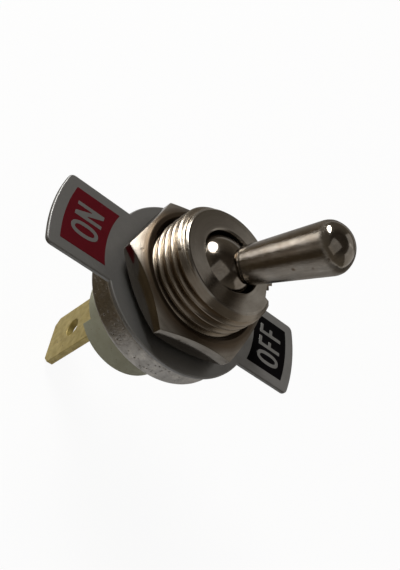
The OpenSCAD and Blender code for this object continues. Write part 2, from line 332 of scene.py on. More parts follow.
def startMaterial(name, stretch=(1, 1, 1), turn=(0, 0, 0), turned=False):
    # positions come out in millimetres, plain and stretched, or as radius and height where a piece was turned
    material = bpy.data.materials.new(name)
    material.use_nodes = True
    tree = material.node_tree
    shader = tree.nodes["Principled BSDF"].inputs
    place = addNode(tree, "ShaderNodeTexCoord").outputs["Object"]
    plain = addNode(tree, "ShaderNodeMapping", {"Vector": place, "Scale": (1 / mm,) * 3}).outputs[0]
    along = addNode(tree, "ShaderNodeMapping", {"Vector": plain, "Rotation": turn}).outputs[0]
    if turned:
        axes = splitAxes(tree, along)
        radius = reckonVector(tree, "LENGTH", {0: joinAxes(tree, {0: axes[0], 1: axes[1]})}, "Value")
        along = joinAxes(tree, {0: radius, 1: axes[2]})
    along = addNode(tree, "ShaderNodeMapping", {"Vector": along, "Scale": stretch}).outputs[0]
    return material, tree, shader, plain, along


def setBump(tree, shader, height, strength, distance):
    values = {"Height": height, "Strength": strength, "Distance": distance * mm}
    tree.links.new(addNode(tree, "ShaderNodeBump", values).outputs[0], shader["Normal"])


def setRoughness(tree, shader, value, shine):
    tree.links.new(remap(tree, value, 0.0, 1.0, shine[0], shine[1], clamp=False), shader["Roughness"])


def surfaceMasks(tree, look, plain, along):
    patches = fillGroup(tree, mottle, {"Position": plain, "Size": look["patchSize"],
                                       "Contrast": look["patchContrast"]})
    spots = fillGroup(tree, specks, {"Position": plain, "Spacing": look["speckSpacing"],
                                     "Share": look["speckShare"], "Radius": look["speckRadius"]})
    lines = fillGroup(tree, grain, {"Position": along, "Fineness": look["fineness"]})
    return patches["Mask"], spots["Mask"], lines


def metalFinish(name, look, stretch=(1, 1, 1), turn=(0, 0, 0), turned=False):
    # plated or bare metal: patches of tarnish, pits, fine grain, and where a piece marks its grooves, dirt
    # that deepens into painted shade
    material, tree, shader, plain, along = startMaterial(name, stretch, turn, turned)
    patches, pits, lines = surfaceMasks(tree, look, plain, along)
    base = mixColour(tree, patches, look["clean"], look["dull"])
    lined = mixColour(tree, look["lineTint"], base, lines["Tone"], "OVERLAY")
    pitted = mixColour(tree, pits, lined, look["pit"])
    # marked grooves get a dirt tint that darkens with their depth into painted shade, as in the thread roots
    # and beside the nut's bore
    if look.get("grooveDirtAndShade"):
        groove = readMark(tree, "groove")
        dirtAndShade = remap(tree, groove, look["shadeFrom"], look["shadeFull"], look["wallDirt"], 1.0)
        masked = reckon(tree, "MULTIPLY", dirtAndShade, readMark(tree, "threadWall"))
        pitted = mixColour(tree, masked, pitted, look["grooveDirtAndShade"])
    tree.links.new(pitted, shader["Base Color"])
    shader["Metallic"].default_value = look["metal"]
    uneven = reckon(tree, "ADD", patches, lines["Tone"])
    bump = look["bump"]
    if look.get("rubbed"):     # rubbed places are rougher, and their grain stands out
        rubbed = readMark(tree, "rubbed")
        bump = remap(tree, rubbed, 0.0, 1.0, bump * look["bumpElsewhere"], bump)
        uneven = reckon(tree, "MULTIPLY_ADD", rubbed, look["rubbed"], uneven)
    setRoughness(tree, shader, uneven, look["shine"])
    height = reckon(tree, "MULTIPLY_ADD", pits, -look["pitDepth"], lines["Height"])
    setBump(tree, shader, height, bump, look["bumpDepth"])
    return material


nickelLook = dict(
    clean=colour(0.45, 0.424, 0.385), dull=colour(0.28, 0.248, 0.21), pit=colour(0.08, 0.062, 0.045),
    patchSize=2.4, patchContrast=1.8, speckSpacing=0.8, speckShare=0.1, speckRadius=0.35, pitDepth=1.0,
    fineness=9.0, lineTint=0.12, metal=1.0, shine=(0.11, 0.23), bump=1.0, bumpElsewhere=0.15)
# the thread's whole wall takes some dirt, and the roots darken further with painted shade
barrelLook = dict(
    nickelLook, grooveDirtAndShade=colour(0.26, 0.205, 0.145), wallDirt=0.4, shadeFrom=0.1, shadeFull=0.8,
    lineTint=0.3, rubbed=0.2, bumpDepth=0.012)
# the nut's dark colour is dirt and painted shade, laid as a ring on its faces next to the thread
nutLook = dict(
    barrelLook, grooveDirtAndShade=colour(0.1, 0.075, 0.052), shine=(0.08, 0.18), lineTint=0.5, rubbed=2.0,
    bumpDepth=0.02)
leverLook = dict(
    nickelLook, clean=colour(0.47, 0.445, 0.41), dull=colour(0.31, 0.262, 0.21),
    pit=colour(0.12, 0.085, 0.06), speckShare=0.05, fineness=4.0, lineTint=0.5, shine=(0.06, 0.13),
    rubbed=1.0, bumpDepth=0.018)
zincLook = dict(
    clean=colour(0.6, 0.58, 0.545), dull=colour(0.38, 0.36, 0.335), pit=colour(0.2, 0.185, 0.165),
    patchSize=0.9, patchContrast=2.2, speckSpacing=0.42, speckShare=0.5, speckRadius=0.35, pitDepth=1.6,
    fineness=4.0, lineTint=0.3, metal=1.0, shine=(0.24, 0.4), bump=0.8, bumpDepth=0.07)
plateLook = dict(
    clean=colour(0.28, 0.279, 0.277), dull=colour(0.234, 0.233, 0.231), pit=colour(0.06, 0.06, 0.058),
    patchSize=1.6, patchContrast=1.6, speckSpacing=0.9, speckShare=0.0, speckRadius=0.35, pitDepth=0.6,
    fineness=9.0, lineTint=0.08, metal=0.75, shine=(0.34, 0.46), bump=0.12, bumpDepth=0.01)
brassLook = dict(
    clean=colour(0.55, 0.45, 0.17), dull=colour(0.4, 0.31, 0.105), pit=colour(0.15, 0.1, 0.045),
    patchSize=0.9, patchContrast=2.6, speckSpacing=0.55, speckShare=0.3, speckRadius=0.35, pitDepth=0.9,
    fineness=5.0, lineTint=0.25, metal=0.5, shine=(0.34, 0.5), bump=0.2, bumpDepth=0.015)
steelLook = dict(
    zincLook, clean=colour(0.5, 0.5, 0.5), dull=colour(0.38, 0.38, 0.38), speckShare=0.05, patchSize=1.2)
silverLook = dict(steelLook, clean=colour(0.78, 0.77, 0.74), dull=colour(0.6, 0.59, 0.56))
leverTilt = 21.5     # degrees from the bushing's axis, toward the OFF arm
leverTurn = (-math.radians(leverTilt), 0, 0)

nickel = metalFinish("barrelNickel", barrelLook, turned=True)
nutNickel = metalFinish("nutNickel", nutLook, turned=True)
leverNickel = metalFinish("leverNickel", leverLook, stretch=(1.6, 1.6, 0.3), turn=leverTurn)
zinc = metalFinish("zincPlating", zincLook)
plateMetal = metalFinish("plateAluminium", plateLook, stretch=(1, 6, 1))
brass = metalFinish("stampedBrass", brassLook, stretch=(1, 1, 0.3))
steel = metalFinish("drawnSteel", steelLook, stretch=(1, 1, 4))
silver = metalFinish("contactSilver", silverLook)


def coatFinish(name, look):
    # ink or moulding: two near tones in patches, scattered specks, and a fine grain in the surface
    material, tree, shader, plain, along = startMaterial(name)
    patches, spots, lines = surfaceMasks(tree, look, plain, along)
    base = mixColour(tree, patches, look["main"], look["shade"])
    tree.links.new(mixColour(tree, spots, base, look["speck"]), shader["Base Color"])
    shader["Specular IOR Level"].default_value = look["specular"]
    setRoughness(tree, shader, lines["Tone"] if look["grainedGloss"] else patches, look["shine"])
    setBump(tree, shader, lines["Height"], look["bump"], look["bumpDepth"])
    return material


inkLook = dict(
    patchSize=0.9, patchContrast=1.6, speckSpacing=0.6, speckShare=0.05, speckRadius=0.22, fineness=9.0,
    specular=0.012, grainedGloss=False, shine=(0.5, 0.65), bump=0.15, bumpDepth=0.008)
mouldingLook = dict(
    main=colour(0.33, 0.337, 0.255), shade=colour(0.27, 0.268, 0.195), speck=colour(0.21, 0.2, 0.14),
    patchSize=1.8, patchContrast=1.8, speckSpacing=0.35, speckShare=0.18, speckRadius=0.4, fineness=5.0,
    specular=0.3, grainedGloss=True, shine=(0.5, 0.75), bump=0.3, bumpDepth=0.03)
redInk = coatFinish("redInk", dict(
    inkLook, main=colour(0.102, 0.0082, 0.0128), shade=colour(0.084, 0.0068, 0.0105),
    speck=colour(0.1, 0.04, 0.04)))
blackInk = coatFinish("blackInk", dict(
    inkLook, main=colour(0.003, 0.0027, 0.0033), shade=colour(0.0045, 0.004, 0.0045),
    speck=colour(0.05, 0.05, 0.05)))
moulding = coatFinish("greyGreenMoulding", mouldingLook)
print("materials made")


# Geometry Nodes rules

def makeRule(name, inputs):
    tree = bpy.data.node_groups.new(name, "GeometryNodeTree")
    for label, kind in inputs.items():
        tree.interface.new_socket(name=label, in_out="INPUT", socket_type="NodeSocket" + kind)
    tree.interface.new_socket(name="Geometry", in_out="OUTPUT", socket_type="NodeSocketGeometry")
    return tree, addNode(tree, "NodeGroupInput").outputs, addNode(tree, "NodeGroupOutput").inputs


def endRule(tree, result, shape, finish):
    real = addNode(tree, "GeometryNodeRealizeInstances", {0: shape}).outputs[0]
    coated = addNode(tree, "GeometryNodeSetMaterial", {"Geometry": real, "Material": finish})
    tree.links.new(coated.outputs[0], result[0])


def followRule(holder, tree, values, name):
    rule = holder.modifiers.new(tree.name, "NODES")
    rule.node_group = tree
    for item in tree.interface.items_tree:
        if item.in_out == "INPUT" and item.name in values:
            rule[item.identifier] = values[item.name]
    return evaluatedMesh(holder, name)


# Bushing: a turned barrel whose thread is a rule on its outer wall, with a keyway down the OFF side

barrelSizes = {
    "threadRadius": 6.35, "height": 7.6, "noseRadius": 5.55, "noseLength": 0.8, "noseRound": 0.3,
    "noseSteps": 20, "mouthRadius": 3.4, "mouthChamfer": 0.15, "mouthRounds": (0.03, 0.05), "pivot": 4.5,
    "socketRadius": 4.1, "socketSteps": 10, "bellRadius": 4.4, "bellTop": 0.9, "rear": -1.3,
    "collarTop": -0.7, "collarRadius": 7.25, "columns": 240, "ringStep": 0.04, "sharpDeg": 50, "pitch": 0.977,
    "depth": 0.58, "phase": 0.7, "flatsAt": (0.48, 0.02), "threadFoot": 0.3, "threadInset": 0.65,
    "keyWidth": 2.4, "keyShift": -0.3, "keyFloor": 4.85, "keyFoot": 0.1, "keyBlend": (20, 60)}


def makeThreadRule():
    tree, given, result = makeRule("threadRule", {
        "Geometry": "Geometry", "Radius": "Float", "Pitch": "Float", "Depth": "Float", "Phase": "Float",
        "Finish": "Material"})
    axes = splitAxes(tree, addNode(tree, "GeometryNodeInputPosition").outputs[0])
    angle = reckon(tree, "ARCTAN2", axes[1], axes[0])
    turns = reckon(tree, "DIVIDE", angle, 2 * math.pi)
    rise = reckon(tree, "DIVIDE", axes[2], given["Pitch"])
    along = reckon(tree, "SUBTRACT", reckon(tree, "SUBTRACT", rise, turns), given["Phase"])
    centred = reckon(tree, "SUBTRACT", reckon(tree, "FRACT", along), 0.5)
    saw = reckon(tree, "ABSOLUTE", centred)     # 0.5 at the crest
    crest, root = barrelSizes["flatsAt"]
    groove = remap(tree, saw, crest, root, 0.0, 1.0, interpolation_type="SMOOTHSTEP")
    flat = joinAxes(tree, {0: axes[0], 1: axes[1]})
    outward = reckonVector(tree, "NORMALIZE", {0: flat})
    radius = reckonVector(tree, "LENGTH", {0: flat}, "Value")
    proud = reckon(tree, "SUBTRACT", radius, given["Radius"])
    excess = reckon(tree, "MULTIPLY_ADD", groove, given["Depth"], proud)
    above = reckon(tree, "MAXIMUM", excess, 0.0)     # the chamfer stays
    wall = addNode(tree, "GeometryNodeInputNamedAttribute", {"Name": "threadWall"}, data_type="FLOAT")
    cut = reckon(tree, "MULTIPLY", above, wall.outputs[0])
    share = reckon(tree, "DIVIDE", cut, given["Depth"])
    offset = reckonVector(tree, "SCALE", {0: outward, "Scale": reckon(tree, "MULTIPLY", cut, -1.0)})
    values = {"Geometry": given["Geometry"], "Name": "groove", "Value": share}
    noted = addNode(tree, "GeometryNodeStoreNamedAttribute", values, data_type="FLOAT", domain="POINT")
    moved = addNode(tree, "GeometryNodeSetPosition", {"Geometry": noted.outputs[0], "Offset": offset})
    endRule(tree, result, moved.outputs[0], given["Finish"])
    return tree


def cutKeyway(v):
    # near the OFF side the wall's columns stand parallel, and those inside the slot move down to its floor
    b = barrelSizes
    radius, height = math.hypot(v.co.x, v.co.y) / mm, v.co.z / mm
    swing = math.atan2(v.co.x, -v.co.y)
    full, none = b["keyBlend"]
    share = min(max((none - abs(math.degrees(swing))) / (none - full), 0), 1)
    onWall = radius > b["noseRadius"] - b["noseRound"] and height > b["collarTop"] + b["ringStep"] / 2
    if share == 0 or not onWall:
        return
    across = (radius + (b["threadRadius"] - radius) * share) * math.sin(swing)
    slope = math.atan2(b["noseLength"], b["threadRadius"] - b["noseRadius"])
    faceEdge = b["noseRadius"] - b["noseRound"] * math.tan(slope / 2)
    if abs(across - b["keyShift"]) < b["keyWidth"] / 2 and height > b["keyFoot"]:
        v.co = Vector((across, max(faceEdge - radius, 0) - b["keyFloor"], height)) * mm
    else:
        v.co = Vector((across, -math.sqrt(radius ** 2 - across ** 2), height)) * mm


def threadedBarrel():
    b = barrelSizes
    threadTop = b["height"] - b["noseLength"]
    innerTop = b["pivot"] + math.sqrt(b["socketRadius"] ** 2 - b["mouthRadius"] ** 2)
    rise = math.degrees(math.asin((innerTop - b["pivot"]) / b["socketRadius"]))
    inside = [Vector((b["bellRadius"], b["rear"])), Vector((b["bellRadius"], b["bellTop"])),
              Vector((b["socketRadius"], b["bellTop"]))]
    inside += arcPoints((0, b["pivot"]), b["socketRadius"], 0, rise, b["socketSteps"])
    innerRound, outerRound = b["mouthRounds"]
    face = roundCorners([(b["mouthRadius"], innerTop, 0),
                         (b["mouthRadius"], b["height"] - b["mouthChamfer"], innerRound),
                         (b["mouthRadius"] + b["mouthChamfer"], b["height"], outerRound),
                         (b["noseRadius"], b["height"], b["noseRound"]),
                         (b["threadRadius"], threadTop, 0)])[1:]
    last, end = face[-2], face.pop()
    face += [last.lerp(end, (k + 1) / b["noseSteps"]) for k in range(b["noseSteps"])]
    length = threadTop - b["collarTop"]
    count = int(length / b["ringStep"])
    wall = [Vector((b["threadRadius"], threadTop - length * (k + 1) / count)) for k in range(count)]
    collar = [Vector((b["collarRadius"], b["collarTop"])), Vector((b["collarRadius"], b["rear"]))]
    mesh = finishMesh(lathe(inside + face + wall + collar, b["columns"], closed=True), "threadedBarrelBlank")
    for v in mesh.vertices:
        cutKeyway(v)

    def threaded(i, at):
        outside = math.hypot(at.x, at.y) > b["threadRadius"] - b["threadInset"]
        return float(outside and at.z > b["collarTop"] + b["threadFoot"])

    for mark in ("threadWall", "rubbed"):
        markPoints(mesh, mark, threaded)
    values = {"Radius": b["threadRadius"] * mm, "Pitch": b["pitch"] * mm, "Depth": b["depth"] * mm,
              "Phase": b["phase"], "Finish": nickel}
    done = followRule(addHolder("threadHolder", mesh), makeThreadRule(), values, "threadedBarrel")
    smoothMesh(done, b["sharpDeg"])
    return done


addPiece("threadedBarrel", threadedBarrel(), nickel, node="bushing")
print("bushing made")


# Hex nut, chamfered on both faces, edges broken

nutSizes = {
    "flats": 15.35, "thick": 2.85, "bottom": 0.85, "faceRadius": 7.25, "chamferDeg": 30, "turn": 38,
    "bore": 6.38, "lead": 0.45, "edge": 0.06, "edgeSag": 0.35, "hold": (0.05, 0.03),
    "cornerRound": 0.072, "cornerShare": 0.45, "columns": 41, "crowding": 1.7,
    "chamferShares": (0.2, 0.5, 0.8), "rimIn": (0.05, 0.012), "rimDown": (0.005, 0.04),
    "dirtShadeRadius": 8.4, "dirtShadeFade": 0.9, "sharpDeg": 24}


def hexNut():
    n = nutSizes
    cornerRadius = n["flats"] / 2 / math.cos(math.radians(30))
    slope = math.tan(math.radians(n["chamferDeg"]))
    angles = []     # closer near the corners
    for side in range(6):
        for k in range(n["columns"]):
            t = -1 + 2 * k / n["columns"]
            angles.append(60 * side + 30 * math.copysign(1 - (1 - abs(t)) ** n["crowding"], t))

    def wallRadius(deg):
        a = (deg + 30) % 60 - 30
        plain = n["flats"] / 2 / math.cos(math.radians(a))
        limit = cornerRadius - n["cornerRound"]
        return plain if plain < limit else limit + (plain - limit) * n["cornerShare"]

    def faceProfile(wall):
        # (radius, depth below the face) from the bore out over one face to the middle of the wall
        face, mouth, drop = n["faceRadius"], n["bore"] + n["lead"], wall - n["faceRadius"]
        points = [(n["bore"], n["lead"]), (mouth, 0), (mouth + n["hold"][0], 0),
                  (face - n["edge"] - n["hold"][1], 0), (face - n["edge"], 0),
                  (face, n["edge"] * slope * n["edgeSag"]), (face + n["edge"], n["edge"] * slope)]
        points += [(face + drop * share, slope * drop * share) for share in n["chamferShares"]]
        points += [(wall - n["rimIn"][0], slope * (drop - n["rimIn"][0])),
                   (wall - n["rimIn"][1], slope * drop + n["rimDown"][0]),
                   (wall, slope * drop + n["rimDown"][1])]
        return points

    bm = bmesh.new()
    profiles = [faceProfile(wallRadius(deg)) for deg in angles]

    def addRing(step, upper):
        ring = []
        for deg, profile in zip(angles, profiles):
            radius, depth = profile[step]
            a = math.radians(deg)
            height = n["thick"] - depth if upper else depth
            ring.append(bm.verts.new((radius * math.cos(a), radius * math.sin(a), height)))
        return ring

    steps = range(len(profiles[0]))
    rings = [addRing(step, False) for step in steps] + [addRing(step, True) for step in reversed(steps)]
    joinRings(bm, rings, closed=True)
    place = Matrix.Translation((0, 0, n["bottom"])) @ Matrix.Rotation(math.radians(n["turn"] + 30), 4, "Z")
    mesh = finishMesh(bm, "hexNut", place, n["sharpDeg"])

    def chamfered(i, at):     # every ring but the two at the middle of the wall
        return 0.0 if i // len(angles) in (len(steps) - 1, len(steps)) else 1.0

    # dirt and painted shade, full next to the thread and fading out toward the corners; the walls stay clean
    def dirtAndShadeByBore(i, at):
        inward = (n["dirtShadeRadius"] - math.hypot(at.x, at.y)) / n["dirtShadeFade"]
        return chamfered(i, at) * max(0.0, min(1.0, inward))

    # every point counts as deep in a groove, so the ring takes the full dark colour
    markPoints(mesh, "groove", lambda i, at: 1.0)
    markPoints(mesh, "threadWall", dirtAndShadeByBore)
    markPoints(mesh, "rubbed", chamfered)
    return mesh


addPiece("hexNut", hexNut(), nutNickel, node="hex_nut")
print("nut made")


# Toggle lever: ball, bat and tail turned in one

leverSizes = {
    "pivot": 4.5, "ball": 4.05, "ballSteps": 48, "neck": 1.7, "neckEdge": 0.05, "neckDrop": (0.02, 0.06),
    "shoulder": 3.8, "shoulderRadius": 1.95, "shoulderEdge": (0.05, 0.03), "batRings": (0.1, 0.3, 0.6, 0.97),
    "ringAt": 12.8, "ringRadius": 2.7, "ringSoft": 0.06, "ringSoftDeg": 11, "ringSteps": 8,
    "dome": 2.0, "domeTopDeg": 88, "domeSteps": 28, "tail": 7.0, "tailRadius": 1.6, "tailEdge": 0.1,
    "boreRadius": 1.05, "boreEnd": 2.4, "columns": 160, "sharpDeg": 30, "rubbedPast": 0.1}


def onLever(along=0.0):
    # the lever's own frame, with its axis upright, in the part's frame
    lean = Matrix.Rotation(math.radians(leverTilt), 4, "X")
    return Matrix.Translation((0, 0, leverSizes["pivot"])) @ lean @ Matrix.Translation((0, 0, along))


def toggleLever():
    s = leverSizes
    domeRadius = (s["ringRadius"] ** 2 + s["dome"] ** 2) / (2 * s["dome"])
    domeCentre = s["ringAt"] + s["dome"] - domeRadius
    rim = math.degrees(math.asin((s["ringAt"] - domeCentre) / domeRadius))
    outline = [Vector((0, s["ringAt"] + s["dome"]))]
    outline += arcPoints((0, domeCentre), domeRadius, s["domeTopDeg"], rim + s["ringSoftDeg"], s["domeSteps"])
    shoulder = Vector((s["shoulderRadius"], s["shoulder"]))
    ring = Vector((s["ringRadius"], s["ringAt"]))
    fromDome, toBat = outline[-1], ring.lerp(shoulder, s["ringSoft"])
    for k in range(s["ringSteps"]):     # a soft turn from the dome into the bat
        t = (k + 1) / s["ringSteps"]
        outline.append(fromDome.lerp(ring, t).lerp(ring.lerp(toBat, t), t))
    outline += [ring.lerp(shoulder, share) for share in s["batRings"]]
    edgeUp, edgeIn = s["shoulderEdge"]
    dropOuter, dropInner = s["neckDrop"]
    neck = [(s["shoulderRadius"], s["shoulder"] + edgeUp), (s["shoulderRadius"] - edgeIn, s["shoulder"]),
            (s["neck"] + s["neckEdge"], s["shoulder"] - dropOuter), (s["neck"], s["shoulder"] - dropInner)]
    outline += [Vector(point) for point in neck]
    fromDeg = math.degrees(math.acos(s["neck"] / s["ball"]))
    toDeg = -math.degrees(math.acos(s["tailRadius"] / s["ball"]))
    outline += arcPoints((0, 0), s["ball"], fromDeg, toDeg, s["ballSteps"])
    tail = [(s["tailRadius"], s["tailEdge"] - s["tail"]), (s["tailRadius"] - s["tailEdge"], -s["tail"]),
            (s["boreRadius"], -s["tail"]), (s["boreRadius"], -s["boreEnd"]), (0, -s["boreEnd"])]
    outline += [Vector(point) for point in tail]
    mesh = finishMesh(lathe(outline, s["columns"]), "batLever", onLever(), s["sharpDeg"])
    upright = onLever().inverted()
    markPoints(mesh, "rubbed",
               lambda i, at: float(s["shoulder"] < (upright @ at).z < s["ringAt"] + s["rubbedPast"]))
    return mesh


addPiece("batLever", toggleLever(), leverNickel, body="lever", node="toggle_lever")
print("lever made")


# Cover: drawn cup crimped under the base's flange

cupSizes = {
    "radius": 9.15, "height": 3.5, "sheet": 0.7, "frontRound": 0.7, "crimpRound": 0.8, "lip": 0.55,
    "lipReach": 1.13, "lipRounds": (0.1, 0.15), "hole": 6.38, "holeRound": 0.1,
    "columns": 240, "roundSteps": 10}


def coverCup():
    c = cupSizes
    inner = c["radius"] - c["sheet"]
    lipTop, lipEnd = c["lip"] - c["height"], inner - c["lipReach"]
    corners = [(c["hole"], 0, c["holeRound"]), (c["hole"], -c["sheet"], 0), (inner, -c["sheet"], 0),
               (inner, lipTop, 0), (lipEnd, lipTop, c["lipRounds"][0]),
               (lipEnd, -c["height"], c["lipRounds"][1]), (c["radius"], -c["height"], c["crimpRound"]),
               (c["radius"], 0, c["frontRound"])]
    outline = roundCorners(corners, c["roundSteps"])
    return finishMesh(lathe(outline, c["columns"], closed=True), "crimpedCup")


addPiece("crimpedCup", coverCup(), zinc, node="cover_cup")
print("cover made")


# Base: moulded cup with a notch in front of the blade, edges broken

baseSizes = {
    "radius": 6.0, "rear": -9.5, "flangeRadius": 8.42, "flangeTop": -0.7, "flangeLow": -2.95, "seat": -1.7,
    "seatRadius": 7.28, "cavity": 5.0, "floor": -6.9, "notchWidth": 6.0, "notchFrom": 3.25, "notchDepth": 6.0,
    "notchHeight": 1.4, "edge": 0.1, "edgeSteps": 3, "edgeDeg": 40, "columns": 160, "sharpDeg": 28}


def mouldedBase():
    b = baseSizes
    outline = [(0, b["floor"]), (b["cavity"], b["floor"]), (b["cavity"], b["seat"]),
               (b["seatRadius"], b["seat"]), (b["seatRadius"], b["flangeTop"]),
               (b["flangeRadius"], b["flangeTop"]), (b["flangeRadius"], b["flangeLow"]),
               (b["radius"], b["flangeLow"]), (b["radius"], b["rear"]), (0, b["rear"])]
    holder = addHolder("baseHolder", finishMesh(lathe(outline, b["columns"]), "baseBlank"))
    bm = bmesh.new()
    bmesh.ops.create_cube(bm, size=1)
    middle = Matrix.Translation((0, b["notchFrom"] + b["notchDepth"] / 2, b["rear"]))
    block = middle @ Matrix.Diagonal((b["notchWidth"], b["notchDepth"], 2 * b["notchHeight"], 1))
    cutter = addHolder("notchCutter", finishMesh(bm, "notchCutter", block))
    notch = holder.modifiers.new("notch", "BOOLEAN")
    notch.object = cutter
    notch.solver = "EXACT"
    soften = holder.modifiers.new("soften", "BEVEL")
    soften.width = b["edge"] * mm
    soften.segments = b["edgeSteps"]
    soften.limit_method = "ANGLE"
    soften.angle_limit = math.radians(b["edgeDeg"])
    mesh = evaluatedMesh(holder, "mouldedBase")
    bpy.data.objects.remove(cutter)
    smoothMesh(mesh, b["sharpDeg"])
    return mesh


addPiece("mouldedBase", mouldedBase(), moulding, node="base")
print("base made")


# Terminal blade

bladeSizes = {
    "width": 6.3, "thick": 0.8, "tip": -19.9, "shoulder": -7.9, "tongueWidth": 3.6, "tongueTop": -6.0,
    "planeY": 3.25, "chamfer": 0.8, "tipRound": 0.15, "shoulderRound": 0.1, "holeRadius": 1.1,
    "holeZ": -15.15, "holeSteps": 48, "edge": 0.07, "roundSteps": 4}


def terminalBlade():
    t = bladeSizes
    half, tongue = t["width"] / 2, t["tongueWidth"] / 2
    heel = t["tip"] + t["chamfer"]
    outside = [(-half, heel, t["tipRound"]), (-half + t["chamfer"], t["tip"], t["tipRound"]),
               (half - t["chamfer"], t["tip"], t["tipRound"]), (half, heel, t["tipRound"]),
               (half, t["shoulder"], t["shoulderRound"]), (tongue, t["shoulder"], 0),
               (tongue, t["tongueTop"], 0), (-tongue, t["tongueTop"], 0), (-tongue, t["shoulder"], 0),
               (-half, t["shoulder"], t["shoulderRound"])]
    hole = holeLoop((0, t["holeZ"]), t["holeRadius"], t["holeSteps"])
    place = Matrix.Translation((0, t["planeY"], 0)) @ Matrix.Rotation(math.radians(90), 4, "X")
    loops = [roundCorners(outside, t["roundSteps"], 0), hole]
    return flatPlate("bladeTab", loops, t["thick"], t["edge"], place)


addPiece("bladeTab", terminalBlade(), brass, node="terminal_blade")
print("blade made")


# Legend plate with its printed fields and letters

plateSizes = {"thick": 0.5, "disc": 9.6, "discSteps": 24, "armWidth": 9.0, "armRadius": 16.35, "armSteps": 14,
              "armRound": 0.7, "roundSteps": 6, "hole": 6.41, "holeSteps": 96, "edge": 0.15, "edgeSteps": 4}
printSizes = {"width": 6.62, "outer": 15.05, "inner": 10.05, "arcSteps": 24, "film": 0.016,
              "letterFilm": 0.026, "sunk": 0.02, "edge": 0.004, "stroke": 0.43, "cornerRound": 0.05,
              "cornerSteps": 3, "ovalPower": 2.35, "ovalSteps": 56, "slantWidth": 1.12, "slantEnd": 0.62,
              "barAt": 0.49, "barShare": 0.82}


def armLoop():
    p = plateSizes
    half = p["armWidth"] / 2
    joint = math.degrees(math.acos(half / p["disc"]))
    cx = half - p["armRound"]
    cy = math.sqrt((p["armRadius"] - p["armRound"]) ** 2 - cx ** 2)
    swing = math.degrees(math.atan2(cy, cx))
    quarter = arcPoints((0, 0), p["disc"], 0, joint, p["discSteps"])
    quarter += arcPoints((cx, cy), p["armRound"], 0, swing, p["roundSteps"])
    quarter += arcPoints((0, 0), p["armRadius"], swing, 90, p["armSteps"])[1:]
    upper = quarter + [Vector((-q.x, q.y)) for q in reversed(quarter[:-1])]
    return upper + [Vector((-q.x, -q.y)) for q in upper[1:-1]]


def legendPlate():
    p = plateSizes
    hole = holeLoop((0, 0), p["hole"], p["holeSteps"])
    place = Matrix.Translation((0, 0, p["thick"] / 2))
    return flatPlate("legendPlate", [armLoop(), hole], p["thick"], p["edge"], place, p["edgeSteps"])


def fieldLoop(sign):
    s = printSizes
    half = s["width"] / 2
    outer = math.degrees(math.acos(half / s["outer"]))
    inner = math.degrees(math.acos(half / s["inner"]))
    loop = arcPoints((0, 0), s["outer"], outer, 180 - outer, s["arcSteps"])
    loop += arcPoints((0, 0), s["inner"], 180 - inner, inner, s["arcSteps"])
    return [q * sign for q in loop]


def ovalLetter(x, low, width, height):
    s = printSizes
    power, middle = 2 / s["ovalPower"], Vector((x + width / 2, low + height / 2))

    def oval(inset):
        loop = []
        for k in range(s["ovalSteps"]):
            a = 2 * math.pi * k / s["ovalSteps"]
            side, rise = math.cos(a), math.sin(a)
            loop.append(middle + Vector(((width / 2 - inset) * math.copysign(abs(side) ** power, side),
                                         (height / 2 - inset) * math.copysign(abs(rise) ** power, rise))))
        return loop

    return [oval(0), list(reversed(oval(s["stroke"])))]


def cutLetter(points):
    corners = [(x, y, printSizes["cornerRound"]) for x, y in points]
    return [roundCorners(corners, printSizes["cornerSteps"], 0)]


def letterN(x, low, width, height):
    stroke = printSizes["stroke"]
    slant = stroke * printSizes["slantWidth"]
    right, top, reach = x + width, low + height, height * printSizes["slantEnd"]
    return cutLetter([(x, low), (x + stroke, low), (x + stroke, low + reach), (right - slant, low),
                      (right, low), (right, top), (right - stroke, top), (right - stroke, top - reach),
                      (x + slant, top), (x, top)])


def letterF(x, low, width, height):
    stroke = printSizes["stroke"]
    stem, top, bar = x + stroke, low + height, x + width * printSizes["barShare"]
    barLow = low + height * printSizes["barAt"] - stroke / 2
    return cutLetter([(x, low), (stem, low), (stem, barLow), (bar, barLow), (bar, barLow + stroke),
                      (stem, barLow + stroke), (stem, top - stroke), (x + width, top - stroke),
                      (x + width, top), (x, top)])


def printFilm(name, loops, film, material):
    s = printSizes
    place = Matrix.Translation((0, 0, plateSizes["thick"] + (film - s["sunk"]) / 2))
    addPiece(name, flatPlate(name, loops, film + s["sunk"], s["edge"], place, 0), material)


lettering = {
    "onLetterO": {"cut": ovalLetter, "x": -1.86, "low": 11.0, "width": 1.66, "height": 3.12},
    "onLetterN": {"cut": letterN, "x": 0.2, "low": 11.0, "width": 1.68, "height": 3.12},
    "offLetterO": {"cut": ovalLetter, "x": -2.5, "low": -14.07, "width": 1.62, "height": 3.22},
    "offLetterF1": {"cut": letterF, "x": -0.46, "low": -14.12, "width": 1.22, "height": 3.22},
    "offLetterF2": {"cut": letterF, "x": 1.18, "low": -14.12, "width": 1.22, "height": 3.22}}

addPiece("legendPlate", legendPlate(), plateMetal, node="legend_plate")
printFilm("onField", [fieldLoop(1)], printSizes["film"], redInk)
printFilm("offField", [fieldLoop(-1)], printSizes["film"], blackInk)
for name, letter in lettering.items():
    loops = letter["cut"](letter["x"], letter["low"], letter["width"], letter["height"])
    printFilm(name, loops, printSizes["letterFilm"], plateMetal)
print("legend plate and print made")


# Plunger spring: a coil laid by a rule, closed at both ends

springSizes = {"wire": 0.28, "radius": 0.81, "turns": 6, "endTurns": 2, "closedRise": 0.31, "openRise": 0.56,
               "stepsPerTurn": 28, "sides": 10, "start": -5.43, "seat": -2.4, "plungerEnd": -5.6,
               "travel": 0.5, "sharpDeg": 50}


